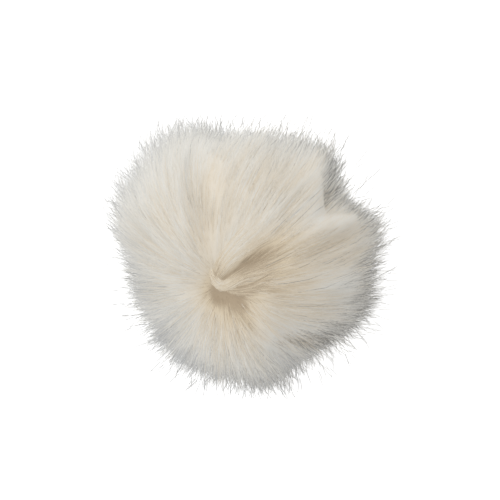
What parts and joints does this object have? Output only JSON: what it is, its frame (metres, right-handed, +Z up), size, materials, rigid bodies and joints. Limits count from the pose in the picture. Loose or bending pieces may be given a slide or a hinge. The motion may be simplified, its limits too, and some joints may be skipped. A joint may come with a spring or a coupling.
{
  "type": "pom pom",
  "caption": "Large round faux fur pom pom with long, loose, dark-tipped ivory pile combed away from a whorl, lying on its gathered back.",
  "frame": {"origin": "on the floor, under the middle of the pom pom's outline", "axes": "+Z up from the floor; the pile parts at a whorl that is tipped towards -X and -Y"},
  "size_m": [0.1418, 0.1324, 0.098],
  "materials": {
    "ivory_pile": "soft, matte long pile"
  },
  "bodies": {
    "root": {"fur_ball": "ivory_pile"}
  },
  "joints": []
}
